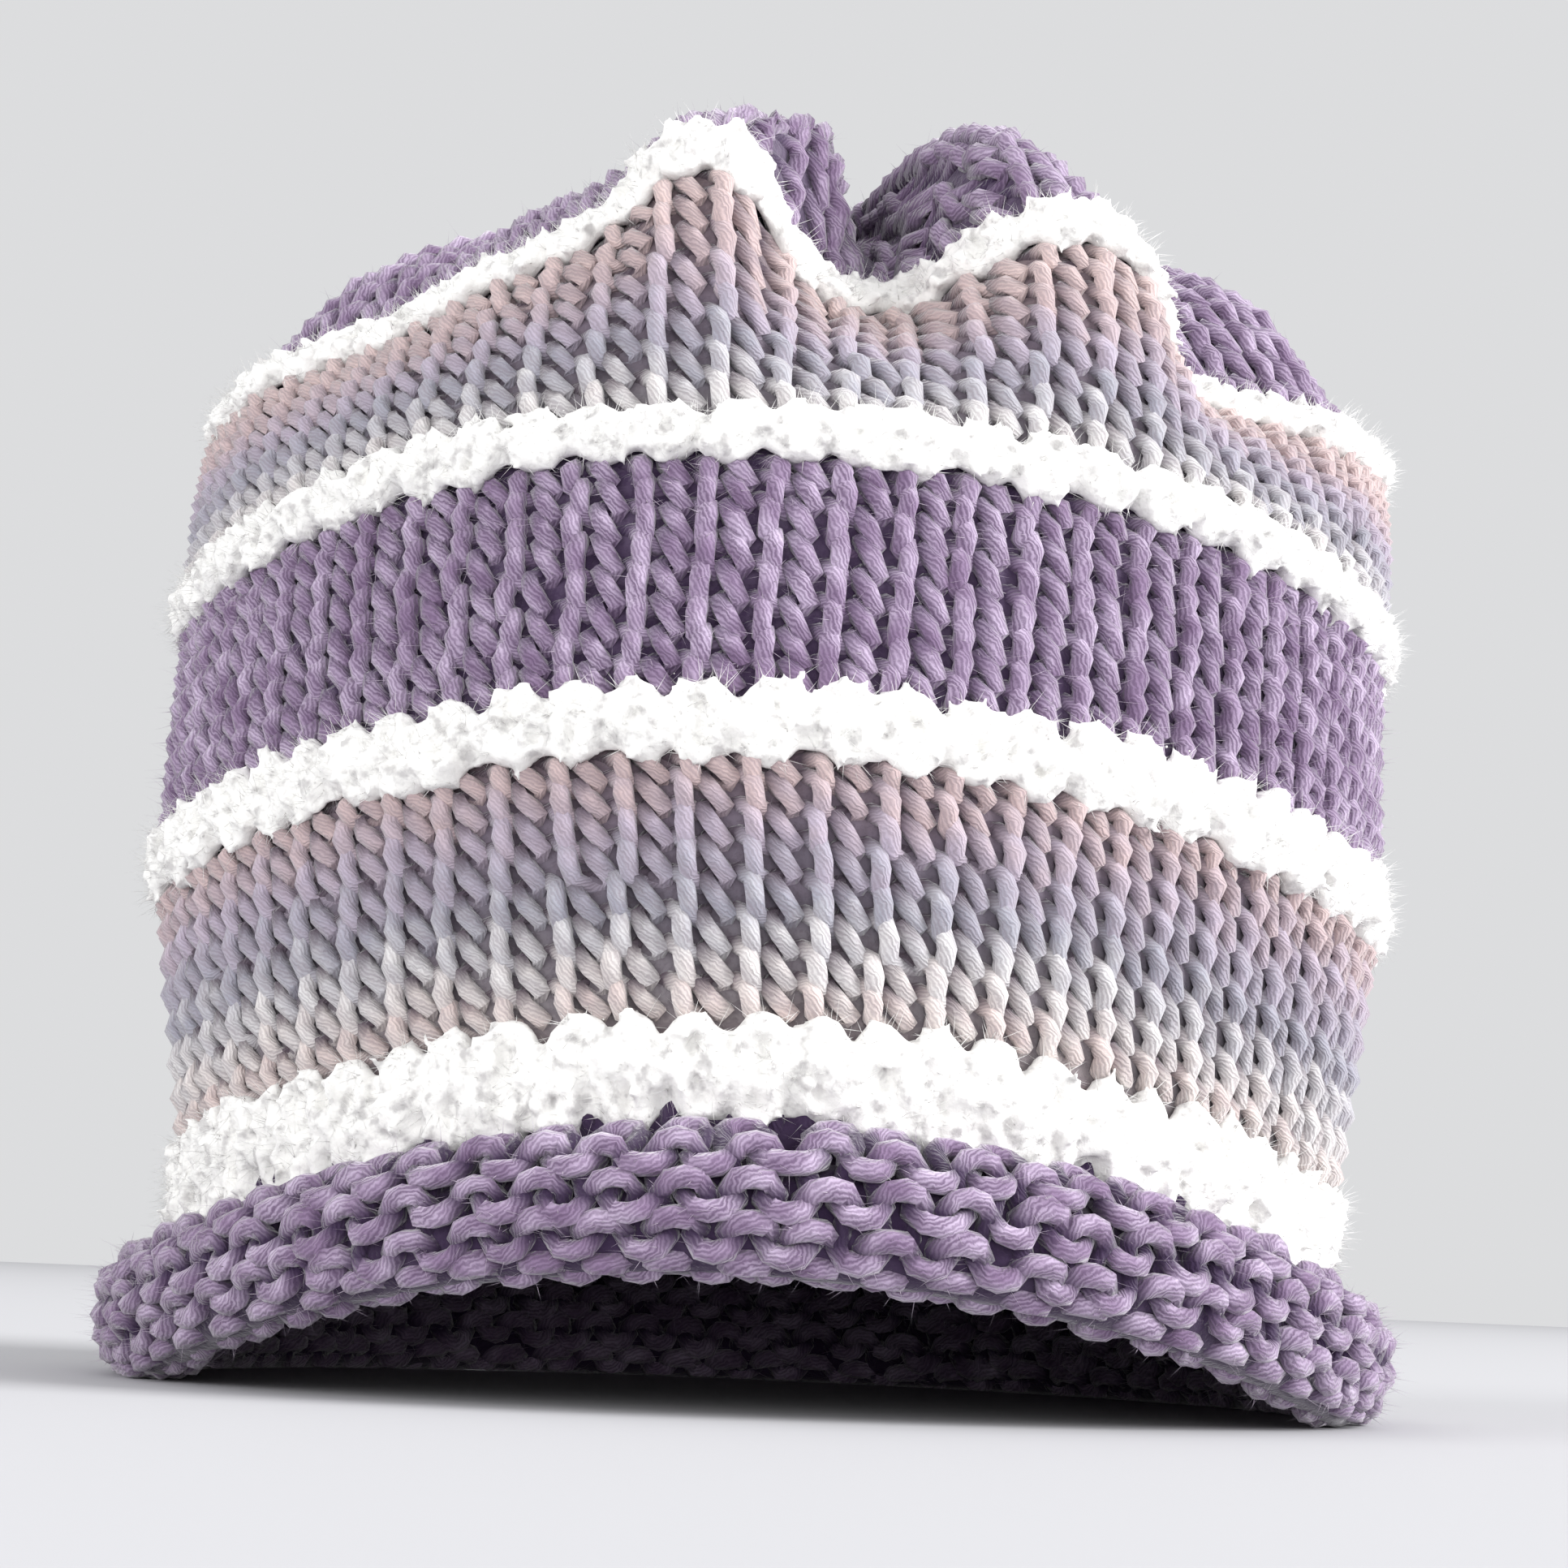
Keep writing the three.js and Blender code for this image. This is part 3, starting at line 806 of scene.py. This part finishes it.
fluffy_white_yarn = yarn_material(
    "fluffy_white_yarn", white_colour, WHITE_GAP_SHADE,
    plies=2, ply_pitch=3.5, fuzz=1.0, sheen=0.2, glow=0.3,
)
for node, (middle, pitch) in WHITE_STRIPES.items():
    rows = []
    for number in range(WHITE_ROUNDS):
        place = middle + (number - 0.5) * pitch
        half_on = 0.5 * number
        rows.append(knit_row(cloth_lay, place, pitch, STITCHES_ROUND, WHITE_YARN, shift=half_on))
    tufts = pile(rows, WHITE_PILE, lengths=(1.0, 2.5), thickness=0.7, spread=0.9, side=1)
    low = middle - WALL_BELOW * pitch
    high = middle + WALL_ABOVE * pitch
    wall = backing(cloth_lay, low, high, tall=8, depth=1.3)
    stripe = knit_mesh(node + "_knit", yarn_tubes(rows, WHITE_SIDES), tufts)
    stripe = felted(joined(stripe, wall))
    hairs = fibres(rows, WHITE_HAIRS, lengths=(2.2, 4.8), thickness=0.11, spread=0.9, side=1)
    stripe = joined(stripe, knit_mesh(node + "_hairs", NO_TUBES, hairs))
    stripe.data.materials.clear()
    stripe.data.materials.append(fluffy_white_yarn)
    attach(stripe, "root")
    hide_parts(node)

# Taupe stripes.
# Smooth yarn dyed in runs of beige, pale grey, slate, lavender and taupe, so that each round comes
# out in another colour. Eight rounds of plain knit to a stripe, knitted on from the white below.
# Painted shade for the gaps between the loops.
TAUPE_GAP_SHADE = paint(70, 57, 69)
# Painted shade for the grooves between the plies.
TAUPE_GROOVE_SHADE = paint(124, 112, 120)
TAUPE_RUN = [
    (0.00, paint(214, 196, 192)),
    (0.09, paint(220, 211, 207)),
    (0.22, paint(216, 214, 214)),
    (0.39, paint(160, 160, 172)),
    (0.56, paint(182, 170, 187)),
    (0.76, paint(196, 174, 174)),
    (1.00, paint(217, 195, 191)),
]
TAUPE_BLEED = 0.3
# How far the painted shade in the grooves goes towards its colour.
GROOVE_SHADE_SHARE = 0.55


def taupe_colour(bench, tone, slow, grooves):
    """The dyed run along the yarn, its ends softened, with painted shade in the grooves of its plies."""
    place = tone + (slow - 0.5) * TAUPE_BLEED
    run = bench.node("ShaderNodeValToRGB", {"stops": TAUPE_RUN}, {"Fac": place})
    grooved = bench.mix(GROOVE_SHADE_SHARE, run, TAUPE_GROOVE_SHADE)
    return bench.mix(grooves, grooved, run)


TAUPE_YARN = {
    **PURPLE_YARN, "radius": 1.38, "slant": 0.19, "loop": 0.74, "right_leg_out": 0.35,
    "left_leg_back": 0.045, "left_leg_painted_shade": 0.75,
}
TAUPE_ROUNDS = 8
TAUPE_STRIPES = {
    # node                 from to   first and last tone
    "taupe_stripe_lower": (1.0, 2.0, 0.0, 0.85),
    "taupe_stripe_upper": (5.0, 7.0, 0.16, 1.0),
}
TAUPE_HAIRS = 600

# The rounds of a stripe start part of a pitch above its lower edge and are spread a little past its
# upper edge. The wall behind them reaches so many rings under the white on both sides.
FIRST_ROUND = 0.45
TUCKED = 1.05
UNDER_WHITE = 0.3
WALL_DEPTH = 3.2

marled_taupe_yarn = yarn_material(
    "marled_taupe_yarn", taupe_colour, TAUPE_GAP_SHADE,
    plies=2, ply_pitch=7.0, fuzz=0.4, sheen=0.45, glow=0.0,
)
for node, (low, high, first_tone, last_tone) in TAUPE_STRIPES.items():
    pitch = (high - low) * TUCKED / TAUPE_ROUNDS
    tone_step = (last_tone - first_tone) / TAUPE_ROUNDS
    rows = []
    for number in range(TAUPE_ROUNDS):
        place = low + (number + FIRST_ROUND) * pitch
        tone = first_tone + number * tone_step
        rows.append(knit_row(cloth_lay, place, pitch, STITCHES_ROUND, TAUPE_YARN, tone, tone_step))
    hairs = fibres(rows, TAUPE_HAIRS, lengths=(1, 2.5), thickness=0.04, spread=0.8, side=1)
    stripe = knit_mesh(node + "_knit", yarn_tubes(rows, YARN_SIDES), hairs)
    wall = backing(
        cloth_lay, low - UNDER_WHITE, high + UNDER_WHITE, tall=14, depth=WALL_DEPTH,
        tones=(first_tone, last_tone), shade=0.15,
    )
    stripe = joined(stripe, wall)
    stripe.data.materials.clear()
    stripe.data.materials.append(marled_taupe_yarn)
    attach(stripe, "root")
    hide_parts(node)

# Purple stripe.
# Eight rounds of the brim's purple yarn, in plain knit with its knit side out. The first and the
# last round are tucked under the fluffy yarn of the white stripes below and above.
PURPLE_FROM = 3
PURPLE_TO = 4
PURPLE_ROUNDS = 8
PURPLE_HAIRS = 5500

purple_pitch = (PURPLE_TO - PURPLE_FROM) * TUCKED / PURPLE_ROUNDS
purple_rows = []
for number in range(PURPLE_ROUNDS):
    place = PURPLE_FROM + (number + FIRST_ROUND) * purple_pitch
    purple_rows.append(knit_row(cloth_lay, place, purple_pitch, STITCHES_ROUND, PURPLE_YARN))
purple_hairs = fibres(
    purple_rows, PURPLE_HAIRS, lengths=(1.5, 5), thickness=0.1, spread=0.9, side=1,
    level=0.3, lighter=0.7,
)
purple_stripe = knit_mesh("purple_stripe_knit", yarn_tubes(purple_rows, YARN_SIDES), purple_hairs)
purple_wall = backing(
    cloth_lay, PURPLE_FROM - UNDER_WHITE, PURPLE_TO + UNDER_WHITE, tall=14, depth=WALL_DEPTH, shade=0.06,
)
purple_stripe = joined(purple_stripe, purple_wall)
purple_stripe.data.materials.clear()
purple_stripe.data.materials.append(purple_yarn)
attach(purple_stripe, "root")
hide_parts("purple_stripe")

# Crown.
# Purple yarn again. Stitches are taken off round by round, and the last few are drawn together
# with the yarn's end, so that the slack cloth falls into folds and pleats.
CROWN_ROUNDS = [
    # from  to     rounds  stitches
    (8.0,  9.0,   4,  66),
    (9.0,  10.0,  4,  58),
    (10.0, 11.0,  5,  44),
    (11.0, 12.0,  4,  26),
    (12.0, 12.8,  2,  12),
]
CROWN_FROM = CROWN_ROUNDS[0][0]
CROWN_MIDDLE = 12.97
CROWN_HAIRS = 4500

crown_rows = []
for low, high, rounds, stitches in CROWN_ROUNDS:
    pitch = (high - low) / rounds
    for number in range(rounds):
        place = low + (number + 0.5) * pitch
        crown_rows.append(knit_row(cloth_lay, place, pitch, stitches, PURPLE_YARN))
crown_hairs = fibres(crown_rows, CROWN_HAIRS, lengths=(1.5, 4), thickness=0.05, spread=0.9, side=1)
crown = knit_mesh("crown_knit", yarn_tubes(crown_rows, YARN_SIDES), crown_hairs)
crown_wall = backing(
    cloth_lay, CROWN_FROM - UNDER_WHITE, CROWN_MIDDLE, tall=30, depth=WALL_DEPTH, shade=0.1,
)
crown = joined(crown, crown_wall)
crown.data.materials.clear()
crown.data.materials.append(purple_yarn)
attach(crown, "root")
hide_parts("crown")

# Floor.
# A plain pale studio floor that the hat stands on.
FLOOR_SIZE = 12.0
FLOOR_GREY = paint(192, 192, 195)

bpy.ops.object.select_all(action="DESELECT")
bpy.ops.mesh.primitive_plane_add(size=FLOOR_SIZE)
floor = bpy.context.object
floor.name = "floor"
pale = bpy.data.materials.new("pale_floor")
pale.use_nodes = True
pale_surface = pale.node_tree.nodes["Principled BSDF"]
pale_surface.inputs["Base Color"].default_value = (*FLOOR_GREY, 1.0)
pale_surface.inputs["Roughness"].default_value = 0.9
floor.data.materials.append(pale)

# Light.
# Soft daylight from all round, with three large soft windows beyond the floor's edge: the main one
# to the right, a weaker one to the left of the front, and a low one in front for the brim.
SKY_COLOUR = (0.97, 0.975, 0.99)
SKY_STRENGTH = 0.74
HAT_MIDDLE = (0, 0, 0.1)
LOW_ON_HAT = (0, 0, 0.06)
KEY_WATTS = 1098.0
FILL_WATTS = 315.0
FRONT_WATTS = 171.0

world = bpy.data.worlds.new("soft_daylight")
world.use_nodes = True
sky = world.node_tree.nodes["Background"]
sky.inputs["Color"].default_value = (*SKY_COLOUR, 1.0)
sky.inputs["Strength"].default_value = SKY_STRENGTH
bpy.context.scene.world = world
bpy.context.scene.view_settings.view_transform = "Standard"


def soft_window(name, place, aim, size, watts):
    """A square area light at a place, turned towards the aim."""
    light = bpy.data.lights.new(name, "AREA")
    light.size = size
    light.energy = watts
    lamp = bpy.data.objects.new(name, light)
    bpy.context.scene.collection.objects.link(lamp)
    lamp.location = place
    towards = np.array(aim) - np.array(place)
    tip = math.atan2(math.hypot(towards[0], towards[1]), -towards[2])
    heading = math.atan2(towards[1], towards[0]) - math.pi / 2
    lamp.rotation_euler = (tip, 0, heading)


soft_window("key_window", (7.5, -2.16, 4.0), HAT_MIDDLE, size=4.8, watts=KEY_WATTS)
soft_window("fill_window", (-6.3, -4.05, 2.5), HAT_MIDDLE, size=4.8, watts=FILL_WATTS)
soft_window("front_window", (1.08, -7.5, 1.38), LOW_ON_HAT, size=3.3, watts=FRONT_WATTS)

# Camera.
# Level with the brim, in front of the hat, looking slightly up, as in the photo.
CAMERA_PLACE = (0.002, -0.557, 0.017)
CAMERA_LENS = 82.8
CAMERA_SENSOR = 36
CAMERA_LIFT = math.radians(7.9)
CAMERA_ROLL = math.radians(2.4)

camera_data = bpy.data.cameras.new("photo_camera")
camera_data.lens = CAMERA_LENS
camera_data.sensor_width = CAMERA_SENSOR
camera = bpy.data.objects.new("photo_camera", camera_data)
bpy.context.scene.collection.objects.link(camera)
camera.location = CAMERA_PLACE
turned = Matrix.Rotation(math.pi / 2 + CAMERA_LIFT, 3, "X") @ Matrix.Rotation(CAMERA_ROLL, 3, "Z")
camera.rotation_euler = turned.to_euler()
bpy.context.scene.camera = camera
